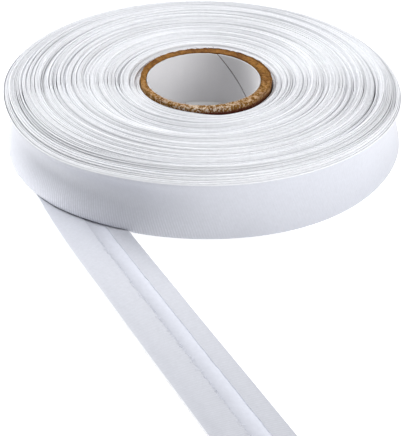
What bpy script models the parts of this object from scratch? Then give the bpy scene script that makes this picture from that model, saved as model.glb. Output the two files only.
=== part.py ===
"""Roll of folded bias tape on a board tube, lying flat, with its loose end drawn out over the table.

The tape is wound edge up, counter-clockwise seen from above. Its loose end passes under the front of the
roll and runs out to the front, smooth side down, with the two folded-in edges showing. The origin is on the
table under the middle of the whole part, so the roll's own axis stands a little behind it.
"""
import math
from collections import namedtuple

import bmesh
import bpy
from mathutils import Vector

MM = 0.001
COLLECTION_NAME = "bias_tape_roll"
MERGE_DISTANCE = 0.00001
SHARP_ANGLE = 40.0

# Columns of the tables below
SidePoint = namedtuple("SidePoint", "height_share radius")
CrownPoint = namedtuple("CrownPoint", "radius rise")
DriftPoint = namedtuple("DriftPoint", "radius front back")
Group = namedtuple("Group", "radius half_gap lift lift_bearing")
Gap = namedtuple("Gap", "radius start end depth")

# Clearance left between pieces that touch, and how closely radii are told apart, in millimetres
CLEARANCE = 0.3
RADIUS_MATCH = 0.05

# Roll of tape, in millimetres
TAPE_WIDTH = 19.0
FOOT_RADIUS = 70.4
RIM_RADIUS = 69.3
WAIST_RADIUS = 68.3
BOARD_RADIUS = 23.2
TAPE_BORE_RADIUS = BOARD_RADIUS + CLEARANCE
ROLL_STEPS = 72

# Side of the roll from rim to foot, its heights as shares of the tape's width
SIDE_PROFILE = (
    SidePoint(1.00, RIM_RADIUS - 0.5),
    SidePoint(0.97, RIM_RADIUS),
    SidePoint(0.90, RIM_RADIUS - 0.3),
    SidePoint(0.76, WAIST_RADIUS + 0.1),
    SidePoint(0.58, WAIST_RADIUS),
    SidePoint(0.38, WAIST_RADIUS + 0.5),
    SidePoint(0.18, FOOT_RADIUS - 0.7),
    SidePoint(0.04, FOOT_RADIUS),
    SidePoint(0.00, FOOT_RADIUS - 0.4),
)

# Rise of the top face above the rim
CROWN_PROFILE = (
    CrownPoint(TAPE_BORE_RADIUS, -0.5),
    CrownPoint(27.0, 0.2),
    CrownPoint(33.0, 0.6),
    CrownPoint(46.0, 1.1),
    CrownPoint(58.0, 1.3),
    CrownPoint(64.0, 1.0),
    CrownPoint(67.5, 0.3),
    CrownPoint(RIM_RADIUS, 0.0),
)

# Drift of the turns towards the back: how far in they lie at the front, and how far out at the back
DRIFT_PROFILE = (
    DriftPoint(TAPE_BORE_RADIUS, 0.0, 0.0),
    DriftPoint(31.0, 1.6, 2.0),
    DriftPoint(38.0, 2.0, 2.4),
    DriftPoint(47.0, 2.8, 2.6),
    DriftPoint(57.0, 3.0, 2.6),
    DriftPoint(62.0, 3.8, 2.2),
    DriftPoint(66.0, 4.0, 1.2),
    DriftPoint(68.0, 1.5, 0.4),
    DriftPoint(RIM_RADIUS, 0.0, 0.0),
)

# The board's wall is thicker towards +X, so its outer face and the inner turns stand off the roll's axis
BOARD_SHIFT = 0.9
BOARD_SHIFT_REACH = 45.0

# Lower edge of the side, drawn out at the front left where the tape leaves the roll
FLARE_BEARING = 215.0
FLARE_SPREAD = 26.0
FLARE_REACH = 0.9
FLARE_TOP = 0.6

# Front left part of the rim, which has slipped down: bearing, spread, drop, and how far in the drop reaches
SAG_BEARING = 221.0
SAG_SPREAD = 36.0
SAG_DROP = 1.5
SAG_INNER_RADIUS = 58.0

# Groups of turns that slid up together: the radius of the gap outside each, half the width of that gap, and
# the lift towards one bearing
TURN_GROUPS = (
    Group(27.0, 0.5, 0.15, 200.0),
    Group(30.6, 0.6, 0.20, 60.0),
    Group(35.8, 1.9, 0.15, 300.0),
    Group(40.0, 0.6, 0.25, 20.0),
    Group(43.2, 0.4, 0.20, 150.0),
    Group(46.2, 0.5, 0.20, 240.0),
    Group(49.8, 0.5, 0.25, 330.0),
    Group(53.0, 0.6, 0.25, 160.0),
    Group(56.6, 0.6, 0.30, 30.0),
    Group(60.4, 0.5, 0.25, 250.0),
    Group(62.6, 0.4, 0.20, 120.0),
    Group(64.8, 0.6, 0.30, 290.0),
    Group(67.4, 0.5, 0.20, 200.0),
)

# Gaps that open outside a group, by the group's radius: first and last bearing, and depth
TURN_GAPS = (
    Gap(27.0, 130.0, 205.0, 0.6),
    Gap(30.6, -40.0, 200.0, 0.9),
    Gap(35.8, 190.0, 300.0, 1.3),
    Gap(35.8, 330.0, 372.0, 0.6),
    Gap(40.0, 296.0, 370.0, 1.2),
    Gap(40.0, 35.0, 85.0, 0.7),
    Gap(43.2, 120.0, 190.0, 0.6),
    Gap(43.2, 340.0, 390.0, 0.6),
    Gap(46.2, 180.0, 268.0, 0.9),
    Gap(46.2, 70.0, 112.0, 0.7),
    Gap(49.8, 132.0, 185.0, 0.9),
    Gap(49.8, 345.0, 385.0, 0.6),
    Gap(53.0, 155.0, 268.0, 0.9),
    Gap(53.0, 310.0, 372.0, 1.2),
    Gap(53.0, 44.0, 90.0, 0.7),
    Gap(56.6, 138.0, 280.0, 1.1),
    Gap(56.6, 328.0, 385.0, 1.1),
    Gap(60.4, 268.0, 385.0, 0.9),
    Gap(60.4, 130.0, 178.0, 0.8),
    Gap(62.6, 205.0, 266.0, 0.9),
    Gap(64.8, 160.0, 366.0, 1.2),
    Gap(67.4, 205.0, 282.0, 0.9),
    Gap(67.4, 340.0, 400.0, 0.6),
)
GAP_FADE = 14.0

# The upper part of the side follows the top face: as shares of the tape's width, none below, all above
SIDE_STAYS = 0.6
SIDE_FOLLOWS = 0.95

# Board tube and its paper liner, in millimetres
BOARD_INNER_RADIUS = 20.4
BOARD_HEIGHT = 20.6
BOARD_CHAMFER = 0.3
LINER_RADIUS = BOARD_INNER_RADIUS - CLEARANCE
LINER_WALL = 0.4
LINER_FOOT = 0.3
LINER_HEIGHT = 19.9
LINER_LEVELS = 6
LINER_STEPS = 60
SEAM_BEARING = 20.2
SEAM_SLANT = 2.78
SEAM_WIDTH = 0.5
CORE_STEPS = 72

# Loose end: cloth layers, its folded section and its straight line over the table, in millimetres
LAYER = 0.4
FOLD_SPACE = 0.3
STRIP_WIDTH = 20.3
OUTER_FLAP = 9.75
INNER_FLAP = 6.8
FOLD_ROUND = 0.25
STRIP_HEADING = -61.8
STRIP_OFFSET = 61.85
STRIP_START = -20.0
STRIP_END = 162.0
BEND_END = 55.0
BEND_LENGTH = 40.0
BEND_SHIFT = 2.0
STRIP_BEND_STEP = 5.0
STRIP_STRAIGHT_STEP = 21.4

# Passage pressed into the roll's underside by the loose end
PASSAGE_ROOM = 0.35
PASSAGE_OVERRUN = 8.0
PASSAGE_UNDERCUT = 1.0

# Roll's axis behind the middle of the part
HEADING_X = math.cos(math.radians(STRIP_HEADING))
HEADING_Y = math.sin(math.radians(STRIP_HEADING))
OUTER_CORNER_Y = (STRIP_OFFSET + STRIP_WIDTH / 2) * -HEADING_X + STRIP_END * HEADING_Y
ROLL_Y = -(FOOT_RADIUS + OUTER_CORNER_Y) / 2


def clear_scene():
    """Remove every object, so that the model starts from nothing."""
    for item in list(bpy.data.objects):
        bpy.data.objects.remove(item, do_unlink=True)


def make_collection(name):
    """A collection of that name, linked to the scene."""
    collection = bpy.data.collections.new(name)
    bpy.context.scene.collection.children.link(collection)
    return collection


def make_material(name, colour, roughness):
    """A matt finish of one colour."""
    material = bpy.data.materials.new(name)
    material.use_nodes = True
    shader = material.node_tree.nodes["Principled BSDF"]
    shader.inputs["Base Color"].default_value = (*colour, 1.0)
    shader.inputs["Roughness"].default_value = roughness
    shader.inputs["Metallic"].default_value = 0.0
    material.diffuse_color = (*colour, 1.0)
    return material


def add_object(name, mesh, collection, material=None):
    """An object of that mesh in the collection, with its material."""
    item = bpy.data.objects.new(name, mesh)
    collection.objects.link(item)
    if material:
        mesh.materials.clear()
        mesh.materials.append(material)
    return item


def baked_mesh(item, name):
    """The object's mesh with its modifiers applied, in place of the object."""
    view = bpy.context.evaluated_depsgraph_get()
    view.update()
    mesh = bpy.data.meshes.new_from_object(item.evaluated_get(view))
    mesh.name = name
    bpy.data.objects.remove(item, do_unlink=True)
    return mesh


def turned_mesh(name, profile, steps, angle=math.tau):
    """A profile of (radius, height) in millimetres, turned about the vertical axis and closed on itself."""
    points = [(radius * MM, 0.0, height * MM) for radius, height in profile]
    count = len(points)
    edges = [(index, (index + 1) % count) for index in range(count)]
    mesh = bpy.data.meshes.new(name)
    mesh.from_pydata(points, edges, [])
    item = add_object(name, mesh, bpy.context.scene.collection)
    screw = item.modifiers.new("Turn", "SCREW")
    screw.angle = angle
    screw.steps = steps
    screw.render_steps = steps
    screw.use_merge_vertices = angle == math.tau
    screw.merge_threshold = MERGE_DISTANCE
    return baked_mesh(item, name)


def blend(value, low, high):
    """0 up to low, 1 from high, and a smooth ease between them."""
    share = min(max((value - low) / (high - low), 0.0), 1.0)
    return share * share * (3.0 - 2.0 * share)


def read_profile(profile, value):
    """The height on a table of (position, height) rows, in straight runs between the rows."""
    for (start, low), (end, high) in zip(profile, profile[1:]):
        if value <= end:
            share = min(max((value - start) / (end - start), 0.0), 1.0)
            return low + (high - low) * share
    return profile[-1][1]


def bearing_between(bearing, start, end):
    """How fully a gap from start to end is open at a bearing, easing in and out at its ends."""
    turned = (bearing - start) % 360.0
    length = end - start
    if turned > length:
        return 0.0
    return min(blend(turned, 0.0, GAP_FADE), blend(length - turned, 0.0, GAP_FADE))


def top_profile():
    """Points of the top face from the bore to the rim: the two shoulders and the floor of each gap."""
    points = [(TAPE_BORE_RADIUS, TAPE_WIDTH)]
    for group in TURN_GROUPS:
        for place in (group.radius - group.half_gap, group.radius, group.radius + group.half_gap):
            points.append((place, TAPE_WIDTH + read_profile(CROWN_PROFILE, place)))
    return points


def group_lift(radius, bearing):
    """Rise of the group of turns at this radius towards the bearing where it slid up."""
    for group in TURN_GROUPS:
        if radius < group.radius:
            return group.lift * math.cos(math.radians(bearing - group.lift_bearing))
    return 0.0


def gap_depth(radius, bearing):
    """Depth of the gap whose floor runs at this radius, or nothing between the gaps."""
    depth = 0.0
    for gap in TURN_GAPS:
        if abs(radius - gap.radius) < RADIUS_MATCH:
            depth = max(depth, gap.depth * bearing_between(bearing, gap.start, gap.end))
    return depth


def nearness(bearing, middle, spread):
    """1 at the middle bearing, easing to 0 at the spread to either side."""
    away = abs((bearing - middle + 180.0) % 360.0 - 180.0)
    return 1.0 - blend(away, 0.0, spread)


def rim_sag(radius, bearing):
    """Drop of the outer turns at the front left."""
    return SAG_DROP * nearness(bearing, SAG_BEARING, SAG_SPREAD) * blend(radius, SAG_INNER_RADIUS, RIM_RADIUS)


def drift_out(radius, bearing):
    """How far out from its own radius a turn lies at a bearing."""
    front = read_profile([(point.radius, point.front) for point in DRIFT_PROFILE], radius)
    back = read_profile([(point.radius, point.back) for point in DRIFT_PROFILE], radius)
    toward_back = math.sin(math.radians(bearing))
    return toward_back * (front * (1.0 - toward_back) + back * (1.0 + toward_back)) / 2


def flare_out(height, bearing):
    """How far the side is drawn out at a height and a bearing."""
    lower = 1.0 - blend(height, 0.0, TAPE_WIDTH * FLARE_TOP)
    return FLARE_REACH * lower * nearness(bearing, FLARE_BEARING, FLARE_SPREAD)


def shape_roll(mesh):
    """Move the turned roll's points to the lifts, gaps, sag, drift and flare of the wound turns."""
    last_shoulder = TURN_GROUPS[-1].radius + TURN_GROUPS[-1].half_gap
    for point in mesh.vertices:
        height = point.co.z / MM
        radius = math.hypot(point.co.x, point.co.y) / MM
        bearing = math.degrees(math.atan2(point.co.y, point.co.x)) % 360.0
        upper = blend(height, TAPE_WIDTH * SIDE_STAYS, TAPE_WIDTH * SIDE_FOLLOWS)
        rise = -rim_sag(radius, bearing) * upper
        outward = 0.0
        if radius > last_shoulder + RADIUS_MATCH:
            outward = flare_out(height, bearing)
        elif radius > TAPE_BORE_RADIUS + RADIUS_MATCH:
            rise += group_lift(radius, bearing) - gap_depth(radius, bearing)
            outward = drift_out(radius, bearing)
        aside = BOARD_SHIFT * (1.0 - blend(radius, TAPE_BORE_RADIUS, BOARD_SHIFT_REACH))
        reach = (radius + outward) * MM
        point.co.x = reach * math.cos(math.radians(bearing)) + aside * MM
        point.co.y = reach * math.sin(math.radians(bearing))
        point.co.z += rise * MM


def strip_place(along):
    """Middle of the loose end and its heading, at a distance along its line past the roll's axis."""
    short = max(BEND_END - along, 0.0)
    inward = BEND_SHIFT * (short / BEND_LENGTH) ** 2
    slope = -2.0 * BEND_SHIFT * short / BEND_LENGTH ** 2
    line = Vector((HEADING_X, HEADING_Y, 0.0))
    across = Vector((-HEADING_Y, HEADING_X, 0.0))
    place = line * along - across * (STRIP_OFFSET - inward)
    return place, (line + across * slope).normalized()


def strip_stations(start, end):
    """Distances along the loose end: close where it bends under the roll, wide where it runs straight."""
    bend_count = math.ceil((BEND_END - start) / STRIP_BEND_STEP)
    stations = [start + (BEND_END - start) * index / bend_count for index in range(bend_count + 1)]
    straight_count = math.ceil((end - BEND_END) / STRIP_STRAIGHT_STEP)
    for index in range(1, straight_count + 1):
        stations.append(BEND_END + (end - BEND_END) * index / straight_count)
    return stations


def swept_mesh(name, section, stations):
    """A closed section of (across, height) carried along the loose end's line, with flat ends."""
    shape = bmesh.new()
    rings = []
    for along in stations:
        place, heading = strip_place(along)
        across = Vector((-heading.y, heading.x, 0.0))
        ring = []
        for offset, height in section:
            spot = place + across * offset
            ring.append(shape.verts.new((spot.x * MM, spot.y * MM, height * MM)))
        rings.append(ring)
    count = len(section)
    for near, far in zip(rings, rings[1:]):
        for index in range(count):
            after = (index + 1) % count
            shape.faces.new((near[index], near[after], far[after], far[index]))
    shape.faces.new(rings[0])
    shape.faces.new(rings[-1])
    bmesh.ops.recalc_face_normals(shape, faces=shape.faces)
    mesh = bpy.data.meshes.new(name)
    shape.to_mesh(mesh)
    shape.free()
    return mesh


def folded_section():
    """Section of the loose end: one layer on the table and two unequal edges folded in over it."""
    half = STRIP_WIDTH / 2
    flap_foot = LAYER + FOLD_SPACE
    top = flap_foot + LAYER
    return (
        (-half, FOLD_ROUND),
        (-half + FOLD_ROUND, 0.0),
        (half - FOLD_ROUND, 0.0),
        (half, FOLD_ROUND),
        (half, top - FOLD_ROUND),
        (half - FOLD_ROUND, top),
        (half - INNER_FLAP, top),
        (half - INNER_FLAP, flap_foot),
        (half - LAYER, flap_foot),
        (half - LAYER, LAYER),
        (-half + LAYER, LAYER),
        (-half + LAYER, flap_foot),
        (-half + OUTER_FLAP, flap_foot),
        (-half + OUTER_FLAP, top),
        (-half + FOLD_ROUND, top),
        (-half, top - FOLD_ROUND),
    )


def make_loose_end(parts):
    """The end of the tape that lies drawn out over the table."""
    finish = make_material("loose_tape_cloth", (0.80, 0.81, 0.86), 0.75)
    mesh = swept_mesh("loose_end", folded_section(), strip_stations(STRIP_START, STRIP_END))
    return add_object("loose_end", mesh, parts, finish)


def make_passage_cutter(cutters):
    """The room that the loose end takes under the roll, as a cutter."""
    half = STRIP_WIDTH / 2 + CLEARANCE
    roof = 2 * LAYER + FOLD_SPACE + PASSAGE_ROOM
    section = ((-half, -PASSAGE_UNDERCUT), (half, -PASSAGE_UNDERCUT), (half, roof), (-half, roof))
    stations = strip_stations(STRIP_START - PASSAGE_ROOM, BEND_END + PASSAGE_OVERRUN)
    cutter = add_object("passage_cutter", swept_mesh("passage_cutter", section, stations), cutters)
    cutter.display_type = "WIRE"
    cutter.hide_render = True
    return cutter


def make_wound_tape(parts, cutters):
    """The roll of wound turns: crowned top with its gaps, waisted side and flat underside."""
    profile = top_profile()
    profile += [(point.radius, point.height_share * TAPE_WIDTH) for point in SIDE_PROFILE]
    profile.append((TAPE_BORE_RADIUS, 0.0))
    mesh = turned_mesh("wound_tape", profile, ROLL_STEPS)
    shape_roll(mesh)
    finish = make_material("wound_tape_cloth", (0.91, 0.92, 0.95), 0.6)
    roll = add_object("wound_tape", mesh, parts, finish)
    passage = roll.modifiers.new("Passage", "BOOLEAN")
    passage.operation = "DIFFERENCE"
    passage.solver = "EXACT"
    passage.object = make_passage_cutter(cutters)
    return roll


def make_core_board(parts):
    """The plain board tube that the tape is wound on, its outer face off the axis of its bore."""
    inner = BOARD_INNER_RADIUS
    profile = (
        (inner + BOARD_CHAMFER, BOARD_HEIGHT),
        (BOARD_RADIUS - BOARD_CHAMFER, BOARD_HEIGHT),
        (BOARD_RADIUS, BOARD_HEIGHT - BOARD_CHAMFER),
        (BOARD_RADIUS, 0.0),
        (inner, 0.0),
        (inner, BOARD_HEIGHT - BOARD_CHAMFER),
    )
    mesh = turned_mesh("core_board", profile, CORE_STEPS)
    for point in mesh.vertices:
        radius = math.hypot(point.co.x, point.co.y) / MM
        point.co.x += BOARD_SHIFT * blend(radius, inner + BOARD_CHAMFER, BOARD_RADIUS - BOARD_CHAMFER) * MM
    finish = make_material("kraft_board", (0.40, 0.28, 0.20), 0.9)
    return add_object("core_board", mesh, parts, finish)


def make_core_liner(parts):
    """The white paper ply inside the board, open along its slanting butt seam."""
    rise = (LINER_HEIGHT - LINER_FOOT) / LINER_LEVELS
    levels = [LINER_FOOT + rise * index for index in range(LINER_LEVELS + 1)]
    inner = LINER_RADIUS - LINER_WALL
    profile = [(LINER_RADIUS, height) for height in reversed(levels)]
    profile += [(inner, height) for height in levels]
    seam_angle = SEAM_WIDTH / inner
    mesh = turned_mesh("core_liner", profile, LINER_STEPS, math.tau - seam_angle)
    for point in mesh.vertices:
        turn = math.radians(SEAM_BEARING + SEAM_SLANT * point.co.z / MM) + seam_angle / 2
        reach = math.hypot(point.co.x, point.co.y)
        bearing = math.atan2(point.co.y, point.co.x) + turn
        point.co.x = reach * math.cos(bearing)
        point.co.y = reach * math.sin(bearing)
    shape = bmesh.new()
    shape.from_mesh(mesh)
    open_edges = [edge for edge in shape.edges if edge.is_boundary]
    bmesh.ops.holes_fill(shape, edges=open_edges, sides=0)
    bmesh.ops.recalc_face_normals(shape, faces=shape.faces)
    shape.to_mesh(mesh)
    shape.free()
    finish = make_material("white_liner_paper", (0.78, 0.78, 0.80), 0.8)
    return add_object("core_liner", mesh, parts, finish)


def shade_round(item):
    """Smooth shading with crisp edges where faces meet at a clear angle."""
    item.data.shade_smooth()
    item.data.set_sharp_from_angle(angle=math.radians(SHARP_ANGLE))


def main():
    clear_scene()
    parts = make_collection(COLLECTION_NAME)
    cutters = make_collection("cutters")
    roll_centre = bpy.data.objects.new("roll_centre", None)
    roll_centre.location = (0.0, ROLL_Y * MM, 0.0)
    parts.objects.link(roll_centre)
    pieces = [
        make_wound_tape(parts, cutters),
        make_loose_end(parts),
        make_core_board(parts),
        make_core_liner(parts),
    ]
    for piece in pieces + list(cutters.objects):
        piece.parent = roll_centre
    for piece in pieces:
        shade_round(piece)


main()
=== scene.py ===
"""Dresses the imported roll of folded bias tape: every turn of it, its drawn-out end and the board core."""
import math
from collections import namedtuple

import bmesh
import bpy
import numpy as np
from bpy.props import FloatProperty, FloatVectorProperty, IntProperty, PointerProperty
from mathutils import Matrix, Vector


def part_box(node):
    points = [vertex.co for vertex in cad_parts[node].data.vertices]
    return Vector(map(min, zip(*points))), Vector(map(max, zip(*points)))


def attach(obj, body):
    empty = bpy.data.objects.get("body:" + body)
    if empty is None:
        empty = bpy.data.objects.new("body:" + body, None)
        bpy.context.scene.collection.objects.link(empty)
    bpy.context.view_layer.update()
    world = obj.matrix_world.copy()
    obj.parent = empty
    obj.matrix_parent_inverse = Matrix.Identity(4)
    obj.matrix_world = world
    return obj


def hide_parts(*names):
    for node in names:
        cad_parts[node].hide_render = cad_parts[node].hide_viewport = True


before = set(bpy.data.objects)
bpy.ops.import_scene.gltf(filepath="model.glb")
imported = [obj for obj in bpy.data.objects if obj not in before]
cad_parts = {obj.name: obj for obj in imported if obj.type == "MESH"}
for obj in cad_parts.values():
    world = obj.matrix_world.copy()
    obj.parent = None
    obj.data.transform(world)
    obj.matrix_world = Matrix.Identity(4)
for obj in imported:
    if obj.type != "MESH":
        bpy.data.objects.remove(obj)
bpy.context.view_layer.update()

bl_info = {
    "name": "Bias Tape Roll",
    "version": (1, 0, 0),
    "blender": (4, 5, 0),
    "location": "3D View > Sidebar > Bias Tape",
    "description": "Winds folded bias tape on a board core and lays its loose end on the table",
    "category": "Object",
}

MM = 0.001
BODY = "root"

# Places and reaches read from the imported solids, in metres
ROLL_LOW, ROLL_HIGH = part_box("wound_tape")
BOARD_LOW, BOARD_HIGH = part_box("core_board")
LINER_LOW, LINER_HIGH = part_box("core_liner")
ROLL_CENTRE = Vector(((ROLL_LOW.x + ROLL_HIGH.x) / 2, (ROLL_LOW.y + ROLL_HIGH.y) / 2, 0.0))
FOOT_REACH = (ROLL_HIGH.x - ROLL_LOW.x) / 2
BOARD_REACH = (BOARD_HIGH.x - BOARD_LOW.x) / 2
BOARD_ASIDE = (BOARD_LOW.x + BOARD_HIGH.x) / 2 - ROLL_CENTRE.x
LINER_REACH = (LINER_HIGH.x - LINER_LOW.x) / 2


def table(columns, *rows):
    """A table whose rows have those named columns, in millimetres and degrees."""
    row_kind = namedtuple("Row", columns)
    return [row_kind(*row) for row in rows]


# Rise of the turns' upper edges above the rim
CROWN = table(
    "radius height", (23.5, -0.5), (27.0, 0.2), (33.0, 0.6), (46.0, 1.1), (58.0, 1.3), (64.0, 1.0),
    (67.5, 0.3), (69.3, 0.0))

# How far towards the back the turns lie, at the front and at the back of the roll
DRIFTS = table(
    "radius front back", (23.5, 0.0, 0.0), (31.0, 1.6, 2.0), (38.0, 2.0, 2.4), (47.0, 2.8, 2.6),
    (57.0, 3.0, 2.6), (62.0, 3.8, 2.2), (66.0, 4.0, 1.2), (68.0, 1.5, 0.4), (69.3, 0.0, 0.0))

# The inner turns follow the board's outer face to the side as far out as this radius
ASIDE_REACH = 45.0

# Outline of the roll's side, foot to rim: share of the tape's width, and reach beyond the rim
SIDES = table(
    "share reach", (0.00, 1.30), (0.05, 1.10), (0.18, 0.45), (0.38, -0.50), (0.58, -1.00), (0.76, -0.90),
    (0.90, -0.35), (0.97, 0.00), (1.00, -0.05))

# Reach of the whole side beyond or short of its even circle
RIMS = table(
    "bearing reach", (0, 0.3), (15, 0.0), (90, 0.0), (140, 0.3), (160, 0.8), (180, 1.4), (195, 1.5),
    (210, 1.5), (225, 1.2), (240, 1.0), (270, 0.95), (300, 0.9), (345, 0.6))

# The foot's own reach beyond or short of that
FEET = table(
    "bearing reach", (0, -0.3), (20, 0.0), (140, -0.2), (165, -0.8), (183, -1.7), (196, -2.3), (207, -0.6),
    (214, 1.5), (220, 1.5), (228, 0.9), (240, 0.8), (250, 0.0), (264, -0.7), (284, -0.2), (300, 0.5),
    (323, -0.2), (343, -0.4))

# Share of the tape's width that the foot's own reach takes in
FOOT_TOPS = table(
    "bearing share", (0, 0.65), (165, 0.65), (190, 0.85), (205, 0.75), (218, 0.55), (232, 0.40), (248, 0.35),
    (270, 0.55), (300, 0.65))

# The side is waisted more at the front left
WAIST_BEARING = 226.0
WAIST_SPREAD = 52.0
WAIST_MORE = 1.6

# Radius from which the turns take the outline of the roll's side, and the run over which they come to it
LEAN_START = 50.0
LEAN_RUN = 19.0

# Groups of turns that slid up together: outer radius, lift and its bearing, and fall from inner to outer turn
GROUPS = table(
    "radius lift bearing slope",
    (25.2, 0.10, 200, 0.00), (27.0, 0.15, 200, 0.10), (30.6, 0.25, 60, 0.10), (33.0, 0.15, 250, -0.25),
    (35.8, 0.15, 300, 0.30), (38.0, 0.20, 100, -0.10), (40.0, 0.30, 20, 0.35), (41.8, 0.20, 330, 0.25),
    (43.2, 0.20, 150, 0.20), (46.2, 0.25, 240, 0.30), (48.0, 0.20, 10, 0.15), (49.8, 0.25, 330, 0.30),
    (53.0, 0.30, 160, 0.30), (54.8, 0.20, 210, 0.20), (56.6, 0.35, 30, 0.35), (58.6, 0.20, 190, 0.20),
    (60.4, 0.30, 250, 0.35), (62.6, 0.25, 120, 0.30), (64.8, 0.30, 290, 0.35), (66.2, 0.15, 30, 0.25),
    (67.4, 0.25, 200, 0.20), (70.0, 0.10, 320, 0.10))

# Gaps between groups of turns, from bearing to bearing
GAPS = table(
    "radius start end width depth",
    (27.0, 130, 205, 0.15, 0.3), (30.6, -40, 200, 0.21, 0.5), (33.0, 150, 215, 0.12, 0.3),
    (35.8, 330, 372, 0.15, 0.3), (38.0, 170, 235, 0.15, 0.3), (40.0, 296, 370, 0.30, 0.6),
    (40.0, 35, 85, 0.18, 0.4), (41.8, 330, 390, 0.15, 0.3), (43.2, 120, 190, 0.15, 0.3),
    (43.2, 340, 390, 0.15, 0.3), (46.2, 180, 268, 0.18, 0.5), (46.2, 70, 112, 0.18, 0.4),
    (48.0, 330, 380, 0.15, 0.3), (49.8, 132, 185, 0.24, 0.5), (49.8, 345, 385, 0.18, 0.3),
    (53.0, 155, 268, 0.21, 0.5), (53.0, 310, 372, 0.36, 0.7), (53.0, 44, 90, 0.18, 0.4),
    (56.6, 138, 280, 0.21, 0.5), (56.6, 328, 385, 0.27, 0.6), (60.4, 268, 385, 0.21, 0.5),
    (60.4, 130, 178, 0.18, 0.4), (62.6, 205, 266, 0.18, 0.4), (64.8, 160, 366, 0.20, 0.4),
    (66.2, 300, 400, 0.15, 0.3), (67.4, 205, 282, 0.18, 0.3), (67.4, 340, 400, 0.15, 0.3))

# Arc over which a gap opens, how far from it the turns are pushed and sunk, and the share of its depth sunk
GAP_FADE = 22.0
GAP_PUSH_REACH = 2.0
GAP_SINK_REACH = 0.55
GAP_SINK = 0.7

# Broad hollows in the top face
VALLEYS = table("radius start end reach depth", (36.6, 196, 306, 3.2, 1.6), (23.0, 255, 335, 3.0, 0.7))
VALLEY_FADE = 34.0

# Small seeded groups of turns: fewest and most turns, lift, fall from inner to outer turn, and push together
SMALL_FEWEST = 3.0
SMALL_MOST = 6.5
SMALL_LIFT = 0.20
SMALL_SLOPE = 0.55
SMALL_PUSH = 0.30

# How far the bounds of the small groups wander, in turns, and how their wander twists from turn to turn
SMALL_WANDER = 0.5
SMALL_TWIST = 0.16

# Dip between two small groups, its reach in turns, and the turns over which the dips begin at the core
SMALL_DIP = 0.30
SMALL_DIP_REACH = 0.65
SMALL_DIP_START = 2.0
SMALL_DIP_EASE = 8.0

# Share of the small groups' second wave of lift, their mean fall, and the mean and change of their dips
SMALL_SECOND = 0.7
SMALL_MEAN_FALL = 0.3
SMALL_DIP_MEAN = 0.65
SMALL_DIP_CHANGE = 0.35

# Painted shade in the dips and gaps between turns, a painted highlight on the turn just outside them, and its
# place in turns
DIP_PAINTED_SHADE = 0.13
RIDGE_PAINTED_HIGHLIGHT = 0.05
RIDGE_PLACE = 1.2

# The outermost turns stand in still smaller groups: share of the turns from where they do, and of the size
RIM_SHARE = 0.84
RIM_SMALLER = 0.55

# Unevenness of single turns: what wanders, how far, its turning points in each turn, and its own seed; the
# shade row is painted shade that differs from turn to turn, for turns that stand at different depths
TURN_WANDERS = table(
    "value size points seed", ("crown", 0.08, 6.37, 1), ("shade", 0.06, 5.61, 5), ("crown", 0.18, 2.31, 2),
    ("push", 0.04, 9.3, 3), ("foot", 0.08, 5.2, 4))

# Unevenness of the whole top face: rise, size of a patch across the turns, and patches round the roll
FACE_RISE = 0.12
FACE_PATCH = 1.1
FACE_PATCHES = 7

# Level of the turns' lower edges, and the run over which pushes fade at the core and at the rim
FOOT_LEVEL = 0.08
PUSH_FADE = 1.5

# Steps along the tape over which its edge levels out a change of height
LEVEL_STEPS = 15

# Rise of the rim at the front right
RIM_BEARING = 295.0
RIM_SPREAD = 75.0
RIM_RISE = 0.95

# Front left part of the rim, which has slipped down
SAG_BEARING = 221.0
SAG_SPREAD = 34.0
SAG_DROP = 1.4
SAG_INNER = 58.0

# Bearing at which the tape begins on the core and ends on the outside, hidden at the back left, and the arc
# over which the outermost turn comes down on the turn under it
LAST_BEARING = 165.0
LAST_EASE = 25.0

# Room of the passage beside the loose end and past its hidden start, each with the run over which it closes
PASSAGE_SIDE = (2.2 * MM, 1.6 * MM)
PASSAGE_END = (3.0 * MM, 2.0 * MM)

# Points of a turn's outline, and the height on a unit circle at which its straight side ends
PLAIN_OUTLINE = (12, math.sin(math.radians(30.0)))
NEAR_OUTLINE = (24, math.sin(math.radians(60.0)))
LAST_OUTLINE = (40, math.sin(math.radians(63.0)))

# Camera: its place from the roll's axis, its heading down and its roll, and its focal length in photo pixels
CAMERA_PLACE = (0.0008, -0.37441, 0.21489)
CAMERA_PITCH = 34.197
CAMERA_ROLL = 0.781
FOCAL_PIXELS = 1188.0
PHOTO_LONG_SIDE = 436
SENSOR = 36.0


def length(name, description, default, precision=4):
    """A size setting, in metres."""
    return FloatProperty(
        name=name, description=description, default=default, unit="LENGTH", precision=precision)


def angle_setting(name, description, degrees):
    """A bearing setting, given here in degrees."""
    return FloatProperty(name=name, description=description, default=math.radians(degrees), subtype="ANGLE")


def whole(name, description, default):
    """A count or a seed setting."""
    return IntProperty(name=name, description=description, default=default)


def colour(name, description, *default):
    """A colour setting."""
    return FloatVectorProperty(name=name, description=description, default=default, subtype="COLOR")


class RollSizes(bpy.types.PropertyGroup):
    """Sizes of the wound turns."""
    bore: length("Bore radius", "Inner radius of the first turn", BOARD_REACH + 0.3 * MM)
    foot: length("Foot radius", "Outer radius of the last turn at its foot", FOOT_REACH)
    foot_spread: length("Foot spread", "Reach of the foot beyond the rim", 1.1 * MM)
    tape_width: length("Tape width", "Width of the folded tape, which stands on edge", 19.0 * MM)
    fullness: FloatProperty(
        name="Fullness", description="Share of the room between turns that the tape fills", default=0.90)
    thinnest: length("Thinnest", "Thickness of the folded tape where it is pressed most", 0.22 * MM, 5)
    fullest: length("Fullest", "Thickness of the folded tape where it is free", 0.72 * MM, 5)
    last_cloth: length("Outermost thickness", "Thickness of the outermost turn", 0.30 * MM, 5)
    turns: whole("Turns", "Turns of tape on the core", 104)
    near_turns: whole("Near turns", "Outer turns with a finely made side", 14)
    steps: whole("Steps", "Steps along the tape in each turn", 144)
    passage: length("Passage", "Rise of the turns' lower edges over the loose end", 0.8 * MM)
    seed: whole("Seed", "Seed of the turns' small unevenness", 11)


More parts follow.
